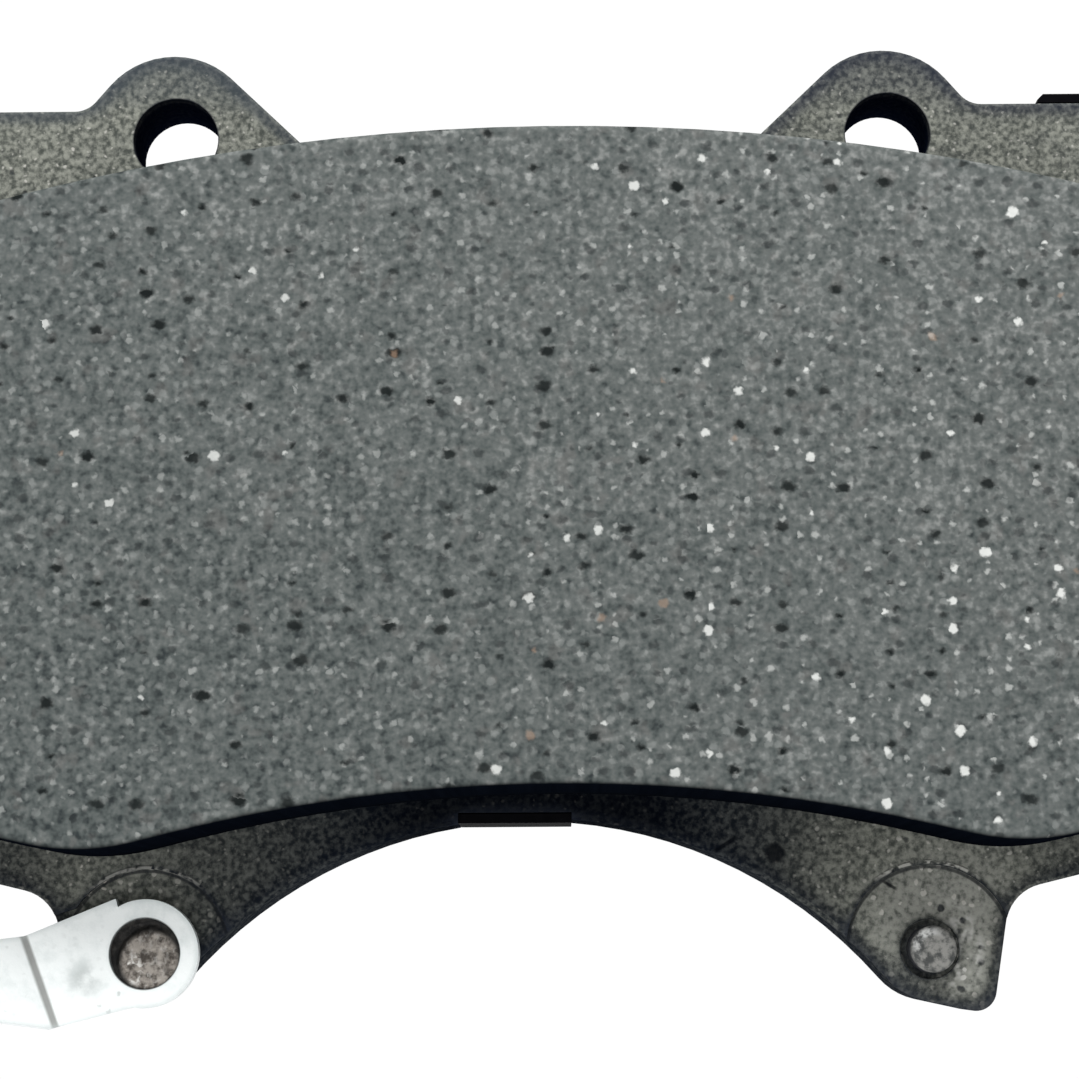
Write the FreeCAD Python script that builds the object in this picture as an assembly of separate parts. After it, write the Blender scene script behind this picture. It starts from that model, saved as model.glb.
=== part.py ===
import FreeCAD, Part
import math
import os

os.makedirs("parts", exist_ok=True)

# Disc brake pad, millimetres.
# X across the pad, Y towards the piston, Z radially outward from the hub.
# Origin on the piston face of the shim, on the centreline, half way up the lining.
# The lining faces -Y.

# Thicknesses, from the piston face forward
rubber_thick = 0.15
shim_thick = 0.7
shim_seat_gap = 0.1
plate_thick = 6.2
underlayer_thick = 2.0
friction_thick = 8.2

# Backing plate
plate_half_width = 61.4
shoulder_z = 30.2
valley_z = 26.0
plate_corner_r = 2.5
shoulder_fillet_r = 2.2
lower_edge_z = -31.3
lower_edge_x = 41.4
lower_edge_slope = 13.6
edge_roll_r = 0.35

# Ears with the pin holes
pin_spacing = 57.0
pin_shift = 0.3
pin_hole_z = 27.7
pin_hole_r = 3.4
ear_wall = 3.25
ear_rise = 0.4
ear_inner_slope = 44.0
ear_outer_slope = 50.0
ear_root_r = 3.0

# Hub arch
arch_r = 35.8
arch_top_z = -26.6

# Lugs below the plate
lug_side_from_rivet = 6.0
lug_side_z = -34.0
lug_side_lean = 9.7
lug_toe_from_rivet = 3.4
lug_toe_z = -41.45
lug_toe_slope = 12.4
lug_toe_r = 1.6
lug_root_r = 3.5
lug_heel_r = 5.0

# Coined seats and rivets on the lugs
rivet_to_arch = 3.92
rivet_z = -36.75
strip_rivet_inset = 0.9
rivet_shank_r = 1.75
seat_r = 6.4
seat_depth = 0.45
head_overhang = 0.95
head_throat = 0.8
head_sink = 0.1
stud_height = 2.5
stud_edge_r = 0.2
moat_width = 0.5
moat_depth = 0.3

# Keying holes filled by the underlayer
key_hole_r = 4.0
key_spacing_x = 40.0
key_spacing_z = 20.0
key_centre_z = 1.0
key_plug_short = 0.3

# Lining outline
lining_shift = 1.5
lining_tilt = 0.28
lining_top_z = 25.37
lining_bottom_z = -24.8
lining_top_r = 165.0
lining_bottom_r = 120.0
lining_half_width = 54.0
lining_nose_x = 34.5
lining_inner_slope = 13.5
lining_outer_slope = 13.0
lining_nose_r = 17.0
lining_corner_r = 5.0
lining_edge_r = 0.6

# Wear indicator
strip_thick = 1.0
strip_round_r = 4.1
strip_rise = 0.5
strip_step = 0.9
strip_step_width = 8.3
strip_bend_width = 7.3
strip_angle = 18.0
strip_seat_gap = 0.3
bend_distance = 8.1
arm_length = 12.0
arm_tip_width = 3.8
arm_swing = 18.0
arm_bend = 20.0
bend_inner_r = 0.8
tip_corner_r = 1.5

# Shim
shim_shift = -1.25
shim_half_width = 55.0
shim_top_z = 22.6
shim_arch_margin = 1.6
shim_tab_x = 42.2
shim_tab_width = 10.0
shim_lower_margin = 3.0
shim_corner_r = 2.0
tab_chamfer = 0.45
tab_fold_r = 0.5
tab_setback = 0.3
tab_gap = 0.1
bottom_tab_width = 8.7
bottom_tab_recess = 0.4
tab_side_gap = 0.02
rubber_margin = 0.8

# Derived levels
plate_back_y = -(2 * rubber_thick + shim_thick + shim_seat_gap)
plate_front_y = plate_back_y - plate_thick
underlayer_y = plate_front_y - underlayer_thick
lining_face_y = underlayer_y - friction_thick
seat_y = plate_front_y + seat_depth
arch_centre_z = arch_top_z - arch_r
ear_x = pin_spacing / 2
ear_r = pin_hole_r + ear_wall
rivet_x = math.sqrt((arch_r + rivet_to_arch) ** 2 - (rivet_z - arch_centre_z) ** 2)
lug_side_x = rivet_x + lug_side_from_rivet
lug_toe_x = rivet_x + lug_toe_from_rivet
head_r = rivet_shank_r + head_overhang
strip_rivet_x = strip_rivet_inset - rivet_x
over = 1.0


def tan(deg):
    return math.tan(math.radians(deg))


def meet(p, p_deg, q, q_deg):
    """Crossing point of two lines, each given by a point and its direction in degrees."""
    a = math.radians(p_deg)
    b = math.radians(q_deg)
    cross = math.cos(a) * math.sin(b) - math.sin(a) * math.cos(b)
    t = ((q[0] - p[0]) * math.sin(b) - (q[1] - p[1]) * math.cos(b)) / cross
    return (p[0] + t * math.cos(a), p[1] + t * math.sin(a))


def rounded_face(corners, y):
    """Face in the plane Y=y from corners (x, z, radius), each rounded by a tangent arc."""
    pts = [FreeCAD.Vector(x, y, z) for x, z, r in corners]
    edges = []
    last = None
    first = None
    n = len(pts)
    for i in range(n):
        p = pts[i]
        before = (pts[i - 1] - p).normalize()
        after = (pts[(i + 1) % n] - p).normalize()
        r = corners[i][2]
        if r > 0:
            half = before.getAngle(after) / 2
            back = r / math.tan(half)
            start = p + before * back
            end = p + after * back
            middle = (before + after).normalize()
            mid = p + middle * (r / math.sin(half) - r)
        else:
            start = p
            end = p
        if last is not None:
            edges.append(Part.makeLine(last, start))
        else:
            first = start
        if r > 0:
            edges.append(Part.Arc(start, mid, end).toShape())
        last = end
    edges.append(Part.makeLine(last, first))
    return Part.Face(Part.Wire(edges))


def prism(corners, y_back, y_front):
    """Solid between two Y levels with a rounded outline."""
    return rounded_face(corners, y_back).extrude(FreeCAD.Vector(0, y_front - y_back, 0))


def drum(x, z, r, y_back, y_front):
    """Cylinder along Y from y_back forward to y_front."""
    return Part.makeCylinder(r, y_back - y_front, FreeCAD.Vector(x, y_back, z), FreeCAD.Vector(0, -1, 0))


def block(x0, x1, y0, y1, z0, z1):
    return Part.makeBox(x1 - x0, y1 - y0, z1 - z0, FreeCAD.Vector(x0, y0, z0))


def mirrored(right, shift=0.0):
    """Close a right-hand chain of corners, listed top to bottom, with its mirror image."""
    left = [(-x, z, r) for x, z, r in reversed(right) if x > 0]
    return [(x + shift, z, r) for x, z, r in right + left]


def edges_at(shape, test):
    """Edges whose middle point passes the test."""
    return [e for e in shape.Edges if test(e.CenterOfMass)]


def strip_slab(start, end, start_width, end_width):
    """Strip-thick slab between two points on the strip's centre line, tapering in width."""
    half_start = strip_side * (start_width / 2)
    half_end = strip_side * (end_width / 2)
    corners = [start + half_start, end + half_end, end - half_end, start - half_start]
    return Part.Face(Part.makePolygon(corners + corners[:1])).extrude(FreeCAD.Vector(0, -strip_thick, 0))


def rivet_cone(depth):
    """Countersink of the strip, from its back face forward over a depth."""
    throat_r = rivet_shank_r + head_throat
    end_r = throat_r + (head_r - throat_r) * depth / strip_thick
    return Part.makeCone(throat_r, end_r, depth, rivet_point, FreeCAD.Vector(0, -1, 0))


def write(shape, node):
    shape.exportStep("parts/" + node + ".step")


# Backing plate: rounded outline, arch, pin holes, keying holes, coined seats
ear_z = pin_hole_z + ear_rise
ear_inner_deg = ear_inner_slope
ear_outer_deg = -ear_outer_slope
inner_touch = (
    ear_x - ear_r * math.sin(math.radians(ear_inner_slope)),
    ear_z + ear_r * math.cos(math.radians(ear_inner_slope)),
)
outer_touch = (
    ear_x + ear_r * math.sin(math.radians(ear_outer_slope)),
    ear_z + ear_r * math.cos(math.radians(ear_outer_slope)),
)
ear_tip = meet(inner_touch, ear_inner_deg, outer_touch, ear_outer_deg)
ear_root = meet(inner_touch, ear_inner_deg, (0, valley_z), 0)
shoulder_start = meet(outer_touch, ear_outer_deg, (0, shoulder_z), 0)
lower_corner_z = lower_edge_z + (plate_half_width - lower_edge_x) * tan(lower_edge_slope)
lug_root = meet((lug_side_x, lug_side_z), 90 - lug_side_lean, (lower_edge_x, lower_edge_z), lower_edge_slope)
lug_toe = meet((lug_side_x, lug_side_z), 90 - lug_side_lean, (lug_toe_x, lug_toe_z), -lug_toe_slope)
plate_right = [
    (ear_root[0], ear_root[1], ear_root_r),
    (ear_tip[0], ear_tip[1], ear_r),
    (shoulder_start[0], shoulder_start[1], shoulder_fillet_r),
    (plate_half_width, shoulder_z, plate_corner_r),
    (plate_half_width, lower_corner_z, plate_corner_r),
    (lug_root[0], lug_root[1], lug_root_r),
    (lug_toe[0], lug_toe[1], lug_toe_r),
    (0, lug_toe_z + lug_toe_x * tan(lug_toe_slope), 0),
]
plate = prism(mirrored(plate_right), plate_back_y, plate_front_y)
plate = plate.cut(drum(0, arch_centre_z, arch_r, plate_back_y + over, plate_front_y - over))
heels = edges_at(
    plate,
    lambda c: abs(c.y - (plate_back_y + plate_front_y) / 2) < 0.01
    and c.z < lug_side_z
    and abs(math.hypot(c.x, c.z - arch_centre_z) - arch_r) < 0.01,
)
plate = plate.makeFillet(lug_heel_r, heels)
rim = edges_at(plate, lambda c: abs(c.y - plate_front_y) < 0.01)
plate = plate.makeFillet(edge_roll_r, rim)
key_places = [
    (sx * key_spacing_x / 2, key_centre_z + sz * key_spacing_z / 2)
    for sx in (-1, 1)
    for sz in (-1, 1)
]
for x in (pin_shift - ear_x, pin_shift + ear_x):
    plate = plate.cut(drum(x, pin_hole_z, pin_hole_r, plate_back_y + over, plate_front_y - over))
for x in (strip_rivet_x, rivet_x):
    plate = plate.cut(drum(x, rivet_z, seat_r, seat_y, plate_front_y - over))
    plate = plate.cut(drum(x, rivet_z, rivet_shank_r, plate_back_y + over, plate_front_y - over))
strip_angle_rad = math.radians(strip_angle)
strip_dir = FreeCAD.Vector(-math.cos(strip_angle_rad), 0, -math.sin(strip_angle_rad))
strip_side = FreeCAD.Vector(-strip_dir.z, 0, strip_dir.x)
rivet_point = FreeCAD.Vector(strip_rivet_x, seat_y, rivet_z)
strip_line = rivet_point - strip_side * strip_rise
bend_point = strip_line + strip_dir * bend_distance
strip_seat_width = strip_step_width + 2 * strip_seat_gap
plate = plate.cut(strip_slab(strip_line, bend_point, strip_seat_width, strip_seat_width))
flat_x0 = shim_shift - bottom_tab_width / 2 - tab_side_gap
flat_x1 = shim_shift + bottom_tab_width / 2 + tab_side_gap
flat_z = arch_top_z + bottom_tab_recess
tab_flat = block(flat_x0, flat_x1, plate_front_y - over, plate_back_y + over, arch_top_z - over, flat_z)
plate = plate.cut(tab_flat)
moat = drum(rivet_x, rivet_z, rivet_shank_r + moat_width, seat_y + moat_depth, seat_y - over)
plate = plate.cut(moat)
for x, z in key_places:
    plate = plate.cut(drum(x, z, key_hole_r, plate_back_y + over, plate_front_y - over))
write(plate, "backing_plate")

# Lining: an arched block with a nose at each lower corner, split into underlayer and friction
inner_meet_z = lining_bottom_z + lining_bottom_r * (1 / math.cos(math.radians(lining_inner_slope)) - 1)
nose_z = inner_meet_z - lining_nose_x * tan(lining_inner_slope)
outer_z = nose_z + (lining_half_width - lining_nose_x) * tan(lining_outer_slope)
lining_right = [
    (lining_half_width, lining_top_z + over, 0),
    (lining_half_width, outer_z, lining_corner_r),
    (lining_nose_x, nose_z, lining_nose_r),
    (0, inner_meet_z, lining_bottom_r),
]


def lining_layer(y_back, y_front):
    body = prism(mirrored(lining_right, lining_shift), y_back, y_front)
    crown = drum(lining_shift, lining_top_z - lining_top_r, lining_top_r, y_back, y_front)
    body = body.common(crown)
    corners = edges_at(
        body,
        lambda c: abs(c.y - (y_back + y_front) / 2) < 0.01
        and c.z > lining_bottom_z / 2
        and abs(abs(c.x - lining_shift) - lining_half_width) < 0.01,
    )
    body = body.makeFillet(lining_corner_r, corners)
    body.rotate(FreeCAD.Vector(lining_shift, 0, 0), FreeCAD.Vector(0, -1, 0), lining_tilt)
    return body


underlayer = lining_layer(plate_front_y, underlayer_y)
for x, z in key_places:
    underlayer = underlayer.fuse(drum(x, z, key_hole_r, plate_back_y - key_plug_short, plate_front_y))
write(underlayer.removeSplitter(), "underlayer")

friction = lining_layer(underlayer_y, lining_face_y)
face_rim = edges_at(friction, lambda c: abs(c.y - lining_face_y) < 0.01)
write(friction.makeFillet(lining_edge_r, face_rim), "friction_block")

# Wear indicator: flat foot in the left seat, bend, arm swung forward beyond the lug
strip_depth = FreeCAD.Vector(0, -strip_thick, 0)
half_strip = strip_side * (strip_bend_width / 2)
foot = strip_slab(strip_line + strip_dir * strip_step, bend_point, strip_step_width, strip_bend_width)
foot = foot.fuse(drum(strip_rivet_x, rivet_z, strip_round_r, seat_y, seat_y - strip_thick))
arm_end = bend_point + strip_dir * arm_length - strip_side * (arm_length * tan(arm_swing))
arm = strip_slab(bend_point, arm_end, strip_bend_width, arm_tip_width)
tips = edges_at(
    arm,
    lambda c: abs(c.y - (seat_y - strip_thick / 2)) < 0.01
    and (c - bend_point).dot(strip_dir) > arm_length / 2,
)
arm = arm.makeFillet(tip_corner_r, tips)
hinge = bend_point + FreeCAD.Vector(0, -strip_thick - bend_inner_r, 0)
arm.rotate(hinge, strip_side, -arm_bend)
bend_section = Part.Face(
    Part.makePolygon(
        [
            bend_point + half_strip,
            bend_point - half_strip,
            bend_point - half_strip + strip_depth,
            bend_point + half_strip + strip_depth,
            bend_point + half_strip,
        ]
    )
)
bend = bend_section.revolve(hinge, strip_side, -arm_bend)
indicator = foot.fuse([bend, arm]).removeSplitter()
indicator = indicator.cut(rivet_cone(strip_thick))
write(indicator, "wear_indicator")

# Indicator rivet: shank through the plate, end mashed into the strip's countersink
rivet = rivet_cone(strip_thick - head_sink)
rivet = rivet.fuse(drum(strip_rivet_x, rivet_z, rivet_shank_r, plate_back_y, seat_y))
write(rivet.removeSplitter(), "indicator_rivet")

# Spare stud on the right lug
stud_tip_y = seat_y - stud_height
stud = drum(rivet_x, rivet_z, rivet_shank_r, plate_back_y, stud_tip_y)
stud_rim = edges_at(stud, lambda c: abs(c.y - stud_tip_y) < 0.01)
write(stud.makeFillet(stud_edge_r, stud_rim), "spare_stud")


# Shim: steel core with three folded tabs between two rubber coats
def shim_sheet(margin, y_back, y_front):
    """Shim outline pulled in by a margin."""
    side_x = shim_half_width - margin
    right = [
        (shim_tab_x - shim_lower_margin, shim_top_z - margin, shim_corner_r),
        (shim_tab_x + margin, shoulder_z - shim_lower_margin - margin, shim_corner_r),
        (side_x, shoulder_z - shim_lower_margin - margin, shim_corner_r),
        (side_x, lower_corner_z + shim_lower_margin + margin, shim_corner_r),
        (lower_edge_x, lower_edge_z + shim_lower_margin + margin, shim_corner_r),
    ]
    sheet = prism(mirrored(right, shim_shift), y_back, y_front)
    arch = drum(0, arch_centre_z, arch_r + shim_arch_margin + margin, y_back + over, y_front - over)
    return sheet.cut(arch)


core_back_y = -rubber_thick
core_front_y = core_back_y - shim_thick
tab_tip_y = plate_front_y + tab_setback
top_tab_low = shoulder_z + tab_gap
top_tab_high = top_tab_low + shim_thick
core = shim_sheet(0, core_back_y, core_front_y)
for side in (-1, 1):
    near = shim_shift + side * shim_tab_x
    far = near + side * shim_tab_width
    x0 = min(near, far)
    x1 = max(near, far)
    neck = block(x0, x1, core_front_y, core_back_y, top_tab_low - 2 * shim_lower_margin, top_tab_high)
    tab = block(x0, x1, tab_tip_y, core_back_y, top_tab_low, top_tab_high)
    tab = neck.fuse(tab).removeSplitter()
    fold = edges_at(
        tab,
        lambda c: abs(c.y - core_back_y) < 0.01 and abs(c.z - top_tab_high) < 0.01,
    )
    tab = tab.makeFillet(tab_fold_r, fold)
    flanks = edges_at(
        tab,
        lambda c: abs(c.z - top_tab_high) < 0.01
        and min(abs(c.x - x0), abs(c.x - x1)) < 0.01,
    )
    core = core.fuse(tab.makeChamfer(tab_chamfer, flanks))
tab_x0 = shim_shift - bottom_tab_width / 2
tab_x1 = shim_shift + bottom_tab_width / 2
low_tab_high = flat_z - tab_gap
low_tab_low = low_tab_high - shim_thick
neck = block(tab_x0, tab_x1, core_front_y, core_back_y, low_tab_low, arch_top_z + 2 * shim_arch_margin)
tab = neck.fuse(block(tab_x0, tab_x1, tab_tip_y, core_back_y, low_tab_low, low_tab_high)).removeSplitter()
fold = edges_at(tab, lambda c: abs(c.y - core_back_y) < 0.01 and abs(c.z - low_tab_low) < 0.01)
core = core.fuse(tab.makeFillet(tab_fold_r, fold)).removeSplitter()
write(core, "shim_core")
write(shim_sheet(rubber_margin, core_front_y, core_front_y - rubber_thick), "shim_rubber_inner")
write(shim_sheet(rubber_margin, 0, core_back_y), "shim_rubber_outer")
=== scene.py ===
import math

import bmesh
import bpy
from mathutils import Matrix, Vector, noise


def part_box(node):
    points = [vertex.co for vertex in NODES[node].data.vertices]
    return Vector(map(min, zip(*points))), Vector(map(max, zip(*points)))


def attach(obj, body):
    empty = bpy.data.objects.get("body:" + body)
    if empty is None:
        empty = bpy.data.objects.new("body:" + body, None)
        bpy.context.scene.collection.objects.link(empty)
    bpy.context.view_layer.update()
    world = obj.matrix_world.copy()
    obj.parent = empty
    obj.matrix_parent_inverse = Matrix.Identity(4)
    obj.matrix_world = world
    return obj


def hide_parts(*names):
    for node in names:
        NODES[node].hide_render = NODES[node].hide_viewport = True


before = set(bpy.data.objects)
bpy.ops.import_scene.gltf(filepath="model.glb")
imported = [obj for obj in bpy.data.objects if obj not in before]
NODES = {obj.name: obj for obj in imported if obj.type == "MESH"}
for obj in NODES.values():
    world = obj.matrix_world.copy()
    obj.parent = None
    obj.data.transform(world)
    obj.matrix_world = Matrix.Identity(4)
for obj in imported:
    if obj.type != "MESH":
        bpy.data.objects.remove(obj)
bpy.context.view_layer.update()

MM = 0.001

# Places read from the frame, in metres
PLATE_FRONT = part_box("backing_plate")[0][1]
LINING_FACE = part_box("friction_block")[0][1]
RIVET_LOW, RIVET_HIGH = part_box("indicator_rivet")
STUD_LOW, STUD_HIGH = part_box("spare_stud")


def middle(low, high):
    return Vector((a + b) / 2 for a, b in zip(low, high))


def plan(place):
    """A place in the front view, in millimetres."""
    return place.x / MM, place.z / MM


RIVET = plan(middle(RIVET_LOW, RIVET_HIGH))
STUD = plan(middle(STUD_LOW, STUD_HIGH))

# Plan sizes and places, in millimetres
PIN_LEFT = -28.2
PIN_RIGHT = 28.8
PIN_Z = 27.7
PIN_R = 3.4
SEAT_R = 6.4
STRIP_THICK = 1.0
RIVET_SHANK_R = 1.75
RIVET_THROAT_R = 2.55
RIVET_HEAD_R = 2.70
CREASE_TOP = (-38.75, -35.1)
CREASE_FOOT = (-35.95, -42.5)
SCRATCH_ON_ARCH = ((14.0, -29.3), (15.7, -28.2), 0.45)
SCRATCH_ON_SEAT = ((26.9, -31.6), (27.9, -32.2), 0.35)
PAINT_BLOB = (18.65, -29.42)

# Beaten ends of the rivet and the stud, in millimetres
DENT_FADE = 0.6
DENTS_PER_MM = 1.3
RIM_GAP = 0.02
RIVET_RIM = 0.1
STUD_RIM = 0.48
GROOVE_AT = (0.35, -0.5)
GROOVE_R = 2.65
GROOVE_WIDTH = 0.42
GROOVE_DEPTH = 0.42
GROOVE_FADE = 2.8


# ---------------------------------------------------------------- shader maths


class Value:
    """One output socket, with arithmetic that adds Math nodes."""

    def __init__(self, graph, socket):
        self.graph = graph
        self.socket = socket

    def also(self, output):
        """Another output of the same node."""
        return Value(self.graph, self.socket.node.outputs[output])

    def math(self, operation, *others):
        return self.graph.node("Math", {"operation": operation}, dict(enumerate((self, *others))))

    def __add__(self, other):
        return self.math("ADD", other)

    def __sub__(self, other):
        return self.math("SUBTRACT", other)

    def __mul__(self, other):
        return self.math("MULTIPLY", other)

    def __rsub__(self, other):
        return self.graph.node("Math", {"operation": "SUBTRACT"}, {0: other, 1: self})

    def __lt__(self, other):
        return self.math("LESS_THAN", other)

    __radd__ = __add__
    __rmul__ = __mul__

    def step(self, low, high):
        """0 below low, 1 above high, smooth between; reversed when low is above high."""
        return self.graph.node(
            "MapRange",
            {"interpolation_type": "SMOOTHSTEP"},
            {"Value": self, "From Min": low, "From Max": high},
        )


class Finish:
    """One material and its node tree. Lengths inside it are in millimetres."""

    def __init__(self, name):
        self.material = bpy.data.materials.new(name)
        self.material.use_nodes = True
        self.tree = self.material.node_tree
        self.tree.nodes.clear()
        self.cells = "3D"
        place = self.node("TexCoord", output="Object")
        self.place = self.node("VectorMath", {"operation": "SCALE"}, {0: place, "Scale": 1 / MM})
        self.x = self.node("SeparateXYZ", inputs={0: self.place})
        self.y = self.x.also("Y")
        self.z = self.x.also("Z")

    def node(self, kind, settings=None, inputs=None, output=0):
        made = self.tree.nodes.new("ShaderNode" + kind)
        for key, value in (settings or {}).items():
            if key == "stops":
                self.set_stops(made.color_ramp.elements, value)
            else:
                setattr(made, key, value)
        for key, value in (inputs or {}).items():
            if isinstance(value, Value):
                self.tree.links.new(value.socket, made.inputs[key])
            else:
                made.inputs[key].default_value = value
        return Value(self, made.outputs[output]) if made.outputs else None

    @staticmethod
    def set_stops(elements, stops):
        while len(elements) < len(stops):
            elements.new(0.5)
        for element, (position, colour) in zip(elements, stops):
            element.position = position
            element.color = (*colour, 1)

    def mix(self, share, first, second):
        """Colour that goes from first to second as share goes from 0 to 1."""
        first, second = ((*c, 1) if isinstance(c, tuple) else c for c in (first, second))
        return self.node("Mix", {"data_type": "RGBA"}, {0: share, 6: first, 7: second}, output=2)

    def cloud(self, size, detail=3.0, rough=0.55, where=None):
        """Soft noise from 0 to 1 whose lumps are about size across."""
        where = where or self.place
        inputs = {"Vector": where, "Scale": 1 / size, "Detail": detail, "Roughness": rough}
        return self.node("TexNoise", inputs=inputs)

    def flatten(self):
        """Patterns from here on are those of the front view, the same at every depth."""
        off_lattice = 0.37
        self.place = self.node("CombineXYZ", inputs={0: self.x, 1: self.z, 2: off_lattice})
        self.cells = "2D"

    def warped(self, size, amount):
        """Place pushed about by coloured noise, so that round cells turn ragged."""
        inputs = {"Vector": self.place, "Scale": 1 / size, "Detail": 2.0}
        push = self.node("TexNoise", inputs=inputs, output=1)
        push = self.node("VectorMath", {"operation": "SUBTRACT"}, {0: push, 1: (0.5, 0.5, 0.5)})
        push = self.node("VectorMath", {"operation": "SCALE"}, {0: push, "Scale": 2 * amount})
        return self.node("VectorMath", {"operation": "ADD"}, {0: self.place, 1: push})

    def specks(self, size, share, where=None, reach=0.30, blur=0.14):
        """Separate specks of uneven size in a share of the cells of a cell pattern.

        Reach and blur are shares of a cell. Each size is taken from its own far place, so that
        two patterns never line up.
        """
        apart = (97 * size, 41 * size, 13 * size)
        moved = self.node("VectorMath", {"operation": "ADD"}, {0: where or self.place, 1: apart})
        cells = self.node(
            "TexVoronoi", {"voronoi_dimensions": self.cells}, {"Vector": moved, "Scale": 1 / size}
        )
        lot = self.node("SeparateColor", inputs={0: cells.also("Color")})
        reach = lot.also("Green") * (reach * 0.8) + reach * 0.4
        return (lot < share) * (reach - cells).step(-blur / 2, blur / 2)

    def away(self, x, z):
        """Distance from a point of the front view."""
        dx = self.x - x
        dz = self.z - z
        return (dx * dx + dz * dz).math("SQRT")

    def near(self, x, z, inner, outer):
        """1 within inner of a point of the front view, fading to 0 at outer."""
        return self.away(x, z).step(outer, inner)

    def ring(self, x, z, radius, width):
        """Soft circle line of a full width about a point of the front view."""
        return (self.away(x, z) - radius).math("ABSOLUTE").step(width / 2, width / 6)

    def stroke(self, start, end, width):
        """Soft straight line of a full width between two points of the front view."""
        along = Vector(end) - Vector(start)
        length = along.length
        ux, uz = along / length
        dx = self.x - start[0]
        dz = self.z - start[1]
        run = dx * ux + dz * uz
        across = (dz * ux - dx * uz).math("ABSOLUTE")
        return across.step(width / 2, width / 6) * run.step(-0.2, 0.2) * run.step(length + 0.2, length - 0.2)

    def rim(self, width):
        """Rises from 0 inside to about half on the part's own edges, over a width."""
        inside = self.node(
            "AmbientOcclusion",
            {"inside": True, "only_local": True, "samples": 8},
            {"Distance": width},
            output="AO",
        )
        return 1 - inside

    def bump(self, height, depth):
        return self.node("Bump", inputs={"Height": height, "Distance": depth * MM, "Strength": 1.0})

    def surface(self, colour, roughness, normal=None, metallic=0.0, specular=0.5):
        inputs = {"Base Color": colour, "Roughness": roughness, "Metallic": metallic}
        inputs["Specular IOR Level"] = specular
        if isinstance(colour, tuple):
            inputs["Base Color"] = (*colour, 1)
        if normal is not None:
            inputs["Normal"] = normal
        shader = self.node("BsdfPrincipled", inputs=inputs)
        self.node("OutputMaterial", inputs={"Surface": shader})
        return self.material


# ------------------------------------------------------------------- finishes


def friction_finish():
    """Ground friction compound: grey binder, ragged pale and dark grains, pits, painted glints, some copper.

    The ground face and its lip are grey, and the moulded skirt behind the lip is black, partly its own dark
    skin and partly painted shade; the lip thins towards the bottom so that the black starts at the lower
    edge.
    """
    f = Finish("friction_compound")
    f.flatten()
    ragged = f.warped(0.45, 0.30)
    binder = f.cloud(0.88, 2.0, 0.55)
    fine = f.cloud(0.52, 1.5)
    mottle = f.cloud(9.0, 3.0)
    tint = f.cloud(2.0, 2.0)
    level = 0.48 + (binder - 0.5) * 0.58 + (fine - 0.5) * 0.70 + (mottle - 0.5) * 0.14
    # painted light: the face grows lighter towards the right and the top
    level = level + f.x * 0.0012 + f.z * 0.0018
    grey = f.node(
        "ValToRGB",
        {
            "stops": [
                (0.18, (0.024, 0.029, 0.030)),
                (0.40, (0.064, 0.073, 0.071)),
                (0.58, (0.096, 0.104, 0.101)),
                (0.85, (0.210, 0.217, 0.210)),
            ]
        },
        {0: level},
    )
    grey = f.mix(tint.step(0.58, 0.70) * 0.16, grey, (0.115, 0.098, 0.092))
    # painted sparkle: glints and pale flakes grow denser and brighter towards the right
    painted_sparkle = f.x.step(-25.0, 50.0)
    pale = f.specks(0.95, 0.46, ragged, 0.27, 0.30)
    flakes = f.specks(1.25, 0.24, ragged, 0.17, 0.18)
    painted_glints = f.specks(2.6, painted_sparkle * 0.20 + 0.06, ragged, 0.13, 0.09)
    flat = f.node("VectorMath", {"operation": "MULTIPLY"}, {0: ragged, 1: (0.85, 1.2, 1.0)})
    pits = f.specks(3.1, 0.44, flat, 0.13, 0.13)
    dark = f.specks(1.9, 0.46, flat, 0.165, 0.17)
    specked = f.specks(1.05, 0.34, ragged, 0.22, 0.22)
    copper = f.specks(5.0, 0.10, ragged, 0.07, 0.06)
    colour = f.mix(pale * 0.34, grey, (0.225, 0.235, 0.228))
    colour = f.mix(flakes * (painted_sparkle * 0.28 + 0.26), colour, (0.42, 0.43, 0.415))
    colour = f.mix(specked * 0.46, colour, (0.024, 0.028, 0.029))
    colour = f.mix(dark * 0.62, colour, (0.018, 0.021, 0.022))
    colour = f.mix(pits * (mottle + 0.42), colour, (0.009, 0.011, 0.011))
    colour = f.mix(painted_glints * (painted_sparkle * 0.25 + 0.55), colour, (0.56, 0.57, 0.55))
    colour = f.mix(copper * 0.4, colour, (0.28, 0.19, 0.135))
    # the lip is thin at the bottom so the black starts right at the lower edge: painted shade under the
    # lining, on top of the skirt's own dark skin
    lip = f.z.step(-15.0, 5.0) * 0.6 + 0.01
    skirt_and_shade = (f.y - LINING_FACE / MM - lip).step(0.0, 0.25)
    black_skin_and_shade = f.mix(f.cloud(0.6), (0.0005, 0.001, 0.002), (0.0025, 0.0035, 0.006))
    colour = f.mix(skirt_and_shade, colour, black_skin_and_shade)
    normal = f.bump(level - specked * 0.3 - dark * 0.5 - pits * 1.1, 0.05)
    return f.surface(colour, 0.9, normal, specular=0.0)


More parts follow.
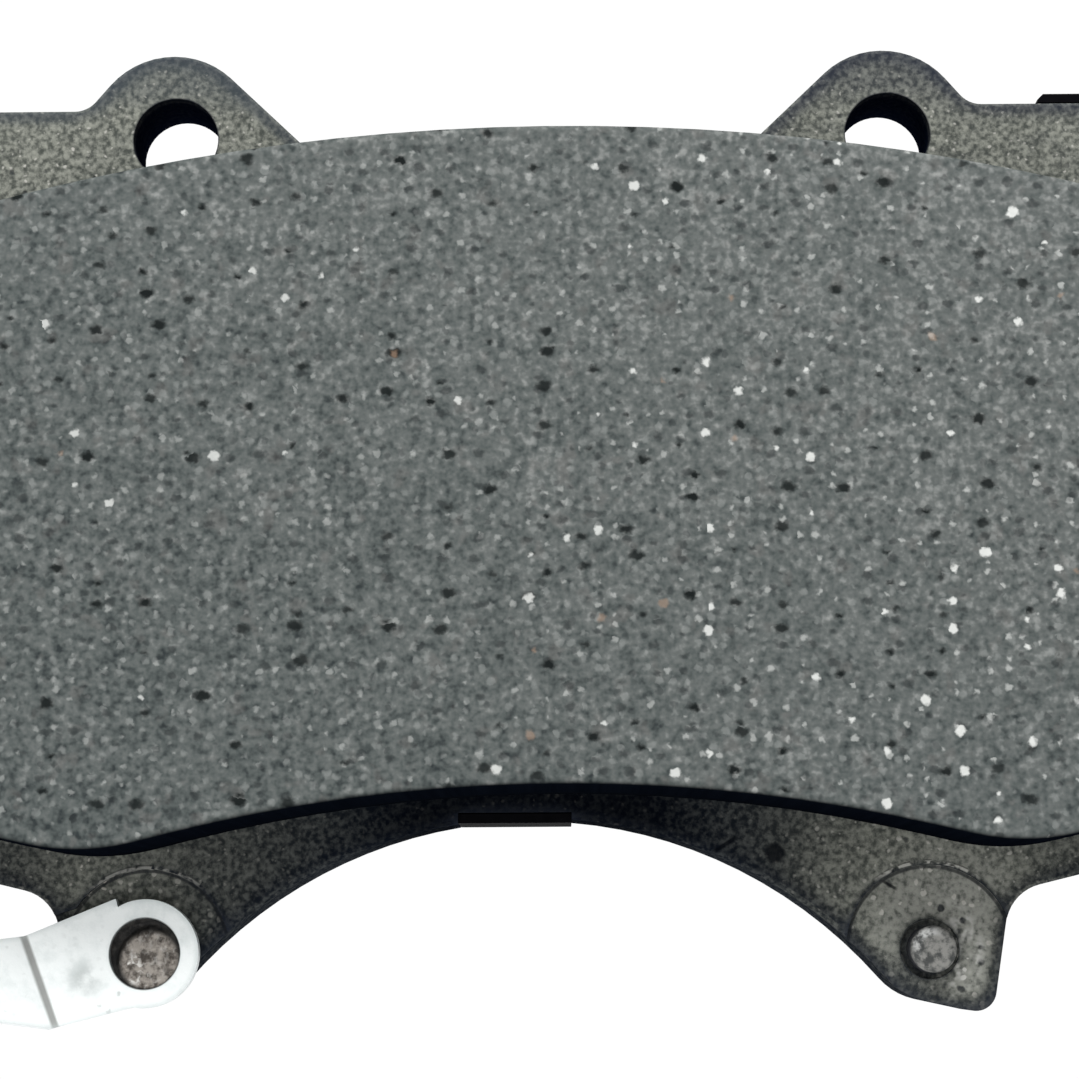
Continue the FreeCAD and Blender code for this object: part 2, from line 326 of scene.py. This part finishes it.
def plate_finish():
    """Blasted steel under a thin dark coat, with pale grinding dust on the shoulders and lugs, painted
    shadow under the lining, and painted light from the left on the upper coat and the dust.
    """
    f = Finish("coated_plate")
    blast = f.cloud(0.45, 2.0, 0.6)
    coarse = f.cloud(2.4, 3.0)
    ragged = f.warped(0.5, 0.2)
    grit = f.specks(0.62, 0.5, ragged, 0.28, 0.2)
    holes = f.specks(1.3, 0.35, ragged, 0.22, 0.14)
    front = f.y.step(PLATE_FRONT / MM + 1.3, PLATE_FRONT / MM + 0.6)
    upper = f.z.step(-5.0, 12.0)
    ears = f.z.step(28.5, 32.5)
    stud_lug = f.near(STUD[0] + 1.4, STUD[1] + 1.2, 2.5, 8.5)
    stud_side = f.near(STUD[0], STUD[1] + 3.0, 4.0, 17.0) * f.x.step(12.0, 24.0)
    far_arch = (f.x.math("ABSOLUTE") + f.z * 0.3).step(2.0, 20.0) * 0.42
    strip_lug = f.near(RIVET[0] - 3.0, RIVET[1] + 4.0, 2.0, 8.0) * 0.55
    arch_coat_and_shadow = f.mix(blast.step(0.35, 0.75), (0.004, 0.006, 0.010), (0.040, 0.044, 0.046))
    # painted light from the left: the upper coat is lighter on the left than on the right
    ear_coat_and_light = f.mix(f.x.step(-25.0, 30.0), (0.036, 0.044, 0.051), (0.018, 0.021, 0.030))
    ear_coat_and_light = f.mix(blast.step(0.35, 0.75) * 0.5, ear_coat_and_light, (0.086, 0.093, 0.098))
    # painted shadow under the lining: the middle of the arch goes near black
    painted_shadow = f.x.math("ABSOLUTE").step(17.0, 7.0) * 0.8
    arch_coat_and_shadow = f.mix(painted_shadow, arch_coat_and_shadow, (0.001, 0.0015, 0.003))
    coat = f.mix(upper * front, arch_coat_and_shadow, ear_coat_and_light)
    rim = f.rim(2.0 * MM)
    bore = f.away(PIN_LEFT, PIN_Z).math("MINIMUM", f.away(PIN_RIGHT, PIN_Z))
    off_bore = bore.step(3.8, 5.6)
    clean_rim = rim.step(0.05, 0.32) * off_bore
    # painted light from the left: the dust thins towards the right
    dust_and_light = upper * (0.74 - ears * 0.62) * (1 - f.x.step(-30.0, 40.0) * 0.22)
    dust_and_light = dust_and_light + far_arch + stud_side * 0.62 + stud_lug * 0.85 + strip_lug * 0.8
    dust_and_light = dust_and_light * front * (1 - clean_rim * 0.8) * (coarse * 0.7 + 0.6)
    tan = f.mix(blast.step(0.28, 0.74), (0.052, 0.057, 0.051), (0.212, 0.218, 0.190))
    colour = f.mix(dust_and_light, coat, tan)
    chalk = stud_lug * front * (1 - clean_rim) * blast.step(0.12, 0.60)
    colour = f.mix(chalk * 0.74, colour, (0.27, 0.275, 0.25))
    colour = f.mix(grit * (dust_and_light * 0.7 + 0.04), colour, (0.36, 0.355, 0.325))
    colour = f.mix(holes * dust_and_light * 0.6, colour, (0.028, 0.031, 0.033))
    colour = f.mix(rim.step(0.30, 0.55) * off_bore * 0.55, colour, (0.018, 0.022, 0.032))
    crest = seat_crest(f, front)
    colour = mark_plate(f, colour, front, crest, grit)
    # painted shade: the walls of the pin bores go near black
    colour = f.mix(bore.step(PIN_R + 0.15, PIN_R - 0.05), colour, (0.001, 0.0025, 0.009))
    normal = f.bump(blast + grit * 0.3 + crest * 1.5 - holes * dust_and_light * 0.6, 0.06)
    return f.surface(colour, 0.8, normal, specular=0.0)


def seat_crest(f, front):
    """Broken ridge raised round the upper side of each coined seat."""
    stud_crest = f.ring(*STUD, SEAT_R + 0.2, 0.4) * f.z.step(STUD[1] + 5.0, STUD[1] + 6.0)
    strip_crest = f.ring(*RIVET, SEAT_R + 0.1, 0.4) * f.z.step(RIVET[1] + 4.6, RIVET[1] + 5.8) * 0.6
    return (stud_crest + strip_crest) * f.cloud(0.9, 2.0).step(0.44, 0.55) * front


def mark_plate(f, colour, front, crest, grit):
    """Seat edges darkened as painted shade, ridges, rubbed spots, scratches, and the moat round the stud
    painted black as shade.
    """
    # painted shade: a dark line just inside the edge of each coined seat
    seat_edge_shade = f.ring(*STUD, SEAT_R - 0.15, 0.4) + f.ring(*RIVET, SEAT_R - 0.15, 0.4)
    scuffs = f.ring(*STUD, 3.2, 2.4) * f.x.step(STUD[0] + 0.6, STUD[0] + 2.2) * front
    scuffs = scuffs * (f.cloud(0.9, 2.0) + grit * 0.3).step(0.42, 0.66)
    chips = f.near(RIVET[0] - 4.4, RIVET[1] + 5.6, 0.6, 2.6) * grit * front
    colour = f.mix(seat_edge_shade * front * 0.75, colour, (0.012, 0.014, 0.018))
    colour = f.mix(crest * 0.75, colour, (0.40, 0.40, 0.37))
    colour = f.mix(scuffs * 0.6, colour, (0.47, 0.47, 0.45))
    colour = f.mix(chips * 0.6, colour, (0.42, 0.40, 0.36))
    # painted shade: a black ring round the stud, heavier on its left side
    moat_shade = f.ring(*STUD, 2.0, 0.7) * (0.8 - f.x.step(STUD[0] - 0.8, STUD[0] + 1.0) * 0.65)
    scratches = f.stroke(*SCRATCH_ON_ARCH) + f.stroke(*SCRATCH_ON_SEAT)
    blob = f.near(*PAINT_BLOB, 0.55, 0.95)
    black = (moat_shade + scratches + blob).math("MINIMUM", 1.0) * front * 0.85
    return f.mix(black, colour, (0.003, 0.004, 0.006))


def zinc_finish():
    """Bright zinc plating, a little cloudy, scuffed near the rivet and creased at the bend, with painted
    shade along the crease and round the rivet head.
    """
    f = Finish("zinc_plating")
    smear = f.cloud(1.8, 4.0, 0.6)
    fine = f.cloud(0.35, 2.0)
    grit = f.specks(0.7, 0.35, f.warped(0.4, 0.2), 0.24, 0.2)
    crease_and_shade = f.stroke(CREASE_TOP, CREASE_FOOT, 0.78)
    smudge = f.near(RIVET[0] - 4.6, RIVET[1] - 1.9, 0.3, 2.0) * smear.step(0.3, 0.6)
    worn = f.near(RIVET[0] - 1.5, RIVET[1] - 3.6, 0.8, 3.2) + f.x.step(-38.0, -41.5)
    pearl = f.mix(smear.step(0.45, 0.72) * 0.4, (0.80, 0.835, 0.83), (0.52, 0.575, 0.57))
    colour = f.mix(smudge * 0.55, pearl, (0.30, 0.335, 0.33))
    colour = f.mix(grit * (worn * 0.45 + 0.10), colour, (0.33, 0.36, 0.35))
    # painted shade along the crease of the bend
    colour = f.mix(crease_and_shade * 0.78, colour, (0.13, 0.13, 0.12))
    # painted shade: a near black ring round the rivet head, where it meets the strip
    colour = f.mix(f.near(*RIVET, RIVET_HEAD_R, RIVET_HEAD_R + 0.08) * 0.92, colour, (0.02, 0.02, 0.02))
    edge = f.rim(0.9 * MM).step(0.22, 0.5)
    colour = f.mix(edge * 0.5, colour, (0.45, 0.50, 0.50))
    roughness = f.node("MapRange", inputs={0: smear, 3: 0.35, 4: 0.6})
    return f.surface(colour, roughness, f.bump(fine * 0.4 + smear - crease_and_shade, 0.03), 0.25)


def mashed_finish():
    """Bare steel mashed by the riveting tool: browned dents, bright facets, and a painted shadow on one
    side, in the groove on its upper left.
    """
    f = Finish("mashed_steel")
    dents = f.cloud(0.85, 3.5, 0.65)
    facets = f.cloud(0.6, 2.0, 0.5, f.warped(0.6, 0.3)).step(0.52, 0.66)
    brown = f.mix(dents.step(0.36, 0.62), (0.055, 0.047, 0.040), (0.30, 0.275, 0.245))
    low_left = f.near(RIVET[0] - 1.1, RIVET[1] - 1.4, 0.4, 1.8) * 0.75 + 0.2
    colour = f.mix(facets * low_left, brown, (0.68, 0.67, 0.64))
    # painted shadow: the groove on the rivet's upper left goes near black
    gap_shadow = 1 - f.near(RIVET[0] + 0.38, RIVET[1] - 0.55, 1.9, 2.45)
    colour = f.mix(gap_shadow * (0.5 + dents * 0.9).math("MINIMUM", 1.0), colour, (0.008, 0.008, 0.008))
    return f.surface(colour, 0.5, f.bump(dents, 0.12), 0.2, 0.2)


def stud_finish():
    """Coated stud end, with a painted highlight on the upper left of its rim."""
    f = Finish("coated_stud")
    blast = f.cloud(0.6, 3.0, 0.6)
    # painted highlight on the upper left of the stud's rim
    rim_highlight = f.ring(*STUD, 1.35, 0.9) * f.near(STUD[0] - 1.0, STUD[1] + 1.1, 0.4, 1.9)
    colour = f.mix(blast.step(0.36, 0.64), (0.032, 0.035, 0.034), (0.185, 0.184, 0.172))
    colour = f.mix(rim_highlight * blast.step(0.3, 0.6) * 0.8, colour, (0.50, 0.51, 0.50))
    wall = f.y.step(STUD_LOW[1] / MM + 0.35, STUD_LOW[1] / MM + 0.8)
    colour = f.mix(wall, colour, (0.010, 0.012, 0.017))
    return f.surface(colour, 0.6, f.bump(blast, 0.08), 0.1)


def shim_finish():
    """Smooth black coat on thin steel."""
    f = Finish("black_shim_steel")
    tone = f.cloud(0.8)
    colour = f.mix(tone, (0.0010, 0.0010, 0.0015), (0.0030, 0.0030, 0.0040))
    return f.surface(colour, 0.7, f.bump(tone, 0.01), specular=0.02)


def rubber_finish():
    """Thin bonded rubber coat with a fine orange-peel skin."""
    f = Finish("shim_rubber_coat")
    peel = f.cloud(0.5, 3.0)
    blotch = f.cloud(9.0, 3.0)
    colour = f.mix(blotch, (0.016, 0.016, 0.018), (0.030, 0.030, 0.032))
    return f.surface(colour, 0.6, f.bump(peel, 0.03), specular=0.35)


def underlayer_finish():
    """Dull black moulded layer."""
    f = Finish("underlayer_compound")
    lumps = f.cloud(0.5, 4.0)
    colour = f.mix(lumps, (0.0006, 0.001, 0.002), (0.003, 0.004, 0.006))
    return f.surface(colour, 0.9, f.bump(lumps, 0.06), specular=0.0)


def peened_end(name, node, material, profile, dent, seed):
    """Turned end of a rivet or stud, its face beaten out of true, in place of a CAD node.

    profile lists (radius, depth behind the face), from the middle of the face outwards and back.
    """
    low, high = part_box(node)
    centre = middle(low, high)
    turns = 96
    shape = bmesh.new()
    rings = []
    for radius, depth in profile:
        ring = []
        for k in range(turns):
            angle = 2 * math.pi * k / turns
            x = radius * math.cos(angle)
            z = radius * math.sin(angle)
            rough = noise.noise((x * DENTS_PER_MM + seed, z * DENTS_PER_MM, seed))
            beaten = max(0.0, 1 - depth / DENT_FADE) * dent(x, z, rough)
            point = (centre.x + x * MM, low[1] + (depth + beaten) * MM, centre.z + z * MM)
            ring.append(shape.verts.new(point))
        rings.append(ring)
    for inner, outer in zip(rings, rings[1:]):
        for k in range(turns):
            n = (k + 1) % turns
            shape.faces.new((inner[k], inner[n], outer[n], outer[k]))
    shape.faces.new(reversed(rings[0]))
    shape.faces.new(rings[-1])
    bmesh.ops.recalc_face_normals(shape, faces=shape.faces)
    for face in shape.faces:
        face.smooth = True
    mesh = bpy.data.meshes.new(name)
    shape.to_mesh(mesh)
    shape.free()
    mesh.materials.append(material)
    end = bpy.data.objects.new(name, mesh)
    bpy.context.scene.collection.objects.link(end)
    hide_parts(node)
    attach(end, "pad")


def rivet_dent(x, z, rough):
    """How far the rivet's face is beaten back: a groove on its upper left, dents elsewhere."""
    side = max(0.0, (z - x) / GROOVE_FADE)
    off_groove = (math.hypot(x - GROOVE_AT[0], z - GROOVE_AT[1]) - GROOVE_R) / GROOVE_WIDTH
    groove = math.exp(-(off_groove**2))
    return 0.16 * abs(rough) + min(GROOVE_DEPTH, 0.55 * side * groove)


def stud_dent(x, z, rough):
    """Shallow dents on a face that leans back a little towards the right."""
    return 0.05 * abs(rough) + 0.02 * (RIVET_SHANK_R + x)


def rings_to(radius, count):
    """Even rings of a flat face, from its middle out to a radius."""
    return [(radius * (k + 1) / count, 0.0) for k in range(count)]


def rounded_rim(radius, curve):
    """Quarter turn of a rim, from the face to the side."""
    steps = 8
    angles = [math.pi / 2 * (k + 1) / steps for k in range(steps)]
    return [(radius - curve + curve * math.sin(a), curve - curve * math.cos(a)) for a in angles]


def dress(node, material):
    """Put one material on a CAD node."""
    slots = NODES[node].data.materials
    slots.clear()
    slots.append(material)


dress("backing_plate", plate_finish())
dress("friction_block", friction_finish())
dress("underlayer", underlayer_finish())
dress("wear_indicator", zinc_finish())
rivet_depth = (RIVET_HIGH[1] - RIVET_LOW[1]) / MM
rivet_r = (RIVET_HIGH[0] - RIVET_LOW[0]) / 2 / MM
rivet_profile = rings_to(rivet_r - RIVET_RIM - RIM_GAP, 26) + rounded_rim(rivet_r, RIVET_RIM)
rivet_profile += [(RIVET_THROAT_R, STRIP_THICK), (RIVET_SHANK_R, STRIP_THICK)]
rivet_profile += [(RIVET_SHANK_R, rivet_depth)]
mashed = mashed_finish()
peened_end("beaten_rivet", "indicator_rivet", mashed, rivet_profile, rivet_dent, 4.7)
stud_depth = (STUD_HIGH[1] - STUD_LOW[1]) / MM
stud_r = (STUD_HIGH[0] - STUD_LOW[0]) / 2 / MM
stud_profile = rings_to(stud_r - STUD_RIM - RIM_GAP, 14) + rounded_rim(stud_r, STUD_RIM)
stud_profile += [(stud_r, stud_depth)]
peened_end("worn_stud", "spare_stud", stud_finish(), stud_profile, stud_dent, 9.1)
dress("shim_core", shim_finish())
rubber = rubber_finish()
dress("shim_rubber_inner", rubber)
dress("shim_rubber_outer", rubber)


# ---------------------------------------------------------------- camera and light

EYE = Vector((2.40, -205.78, -37.13)) * MM
PITCH = 0.1605
YAW = -0.0082
ROLL = -0.0058
LENS_MM = 85.92
SENSOR_MM = 36
NEAREST_SEEN = 5 * MM
KEY_PLACE = (-0.12, -0.40, 0.45)
KEY_SIZE = 0.45
KEY_WATTS = 5.5
BACKDROP_WHITE = 1.02
GLOW_BELOW = 0.16
GLOW_ABOVE = 0.95
FLOOR_R = 1.0
FLOOR_Z = -0.10


def aim_camera():
    """Camera a little below the pad, looking slightly up at the friction face."""
    forward = Vector((math.sin(YAW) * math.cos(PITCH), math.cos(YAW) * math.cos(PITCH), math.sin(PITCH)))
    level = Vector((math.cos(YAW), -math.sin(YAW), 0))
    up = level.cross(forward)
    right = level * math.cos(ROLL) + up * math.sin(ROLL)
    up = up * math.cos(ROLL) - level * math.sin(ROLL)
    camera = bpy.data.objects.new("camera", bpy.data.cameras.new("camera"))
    camera.data.lens = LENS_MM
    camera.data.sensor_width = SENSOR_MM
    camera.data.clip_start = NEAREST_SEEN
    camera.matrix_world = Matrix.Translation(EYE) @ Matrix((right, up, -forward)).transposed().to_4x4()
    bpy.context.scene.collection.objects.link(camera)
    bpy.context.scene.camera = camera


def soft_light(name, place, target, size, power):
    lamp = bpy.data.lights.new(name, "AREA")
    lamp.shape = "DISK"
    lamp.size = size
    lamp.energy = power
    light = bpy.data.objects.new(name, lamp)
    light.location = place
    light.rotation_euler = (Vector(target) - Vector(place)).to_track_quat("-Z", "Y").to_euler()
    bpy.context.scene.collection.objects.link(light)


def pale_surroundings():
    """White backdrop for the camera, and a soft glow that grows from below to above."""
    world = bpy.data.worlds.new("white_room")
    bpy.context.scene.world = world
    world.use_nodes = True
    nodes = world.node_tree.nodes
    links = world.node_tree.links
    sky = nodes.new("ShaderNodeSeparateXYZ")
    links.new(nodes.new("ShaderNodeTexCoord").outputs["Generated"], sky.inputs[0])
    glow = nodes.new("ShaderNodeMapRange")
    glow.inputs["From Min"].default_value = -0.5
    glow.inputs["From Max"].default_value = 0.9
    glow.inputs["To Min"].default_value = GLOW_BELOW
    glow.inputs["To Max"].default_value = GLOW_ABOVE
    links.new(sky.outputs["Z"], glow.inputs["Value"])
    strength = nodes.new("ShaderNodeMapRange")
    strength.inputs["To Max"].default_value = BACKDROP_WHITE
    links.new(glow.outputs[0], strength.inputs["To Min"])
    links.new(nodes.new("ShaderNodeLightPath").outputs["Is Camera Ray"], strength.inputs["Value"])
    links.new(strength.outputs[0], nodes["Background"].inputs["Strength"])
    nodes["Background"].inputs["Color"].default_value = (1, 1, 1, 1)
    bpy.context.scene.view_settings.view_transform = "Standard"


def pale_floor():
    """Pale disc below the pad, kept out of the part itself."""
    mesh = bpy.data.meshes.new("floor")
    shape = bmesh.new()
    bmesh.ops.create_circle(shape, cap_ends=True, segments=96, radius=FLOOR_R)
    shape.to_mesh(mesh)
    shape.free()
    floor = bpy.data.objects.new("floor", mesh)
    floor.location = (0, 0, FLOOR_Z)
    f = Finish("pale_floor")
    mesh.materials.append(f.surface((0.8, 0.8, 0.8), 0.8))
    bpy.context.scene.collection.objects.link(floor)


aim_camera()
pale_surroundings()
pale_floor()
soft_light("key", KEY_PLACE, (0, 0, 0), KEY_SIZE, KEY_WATTS)
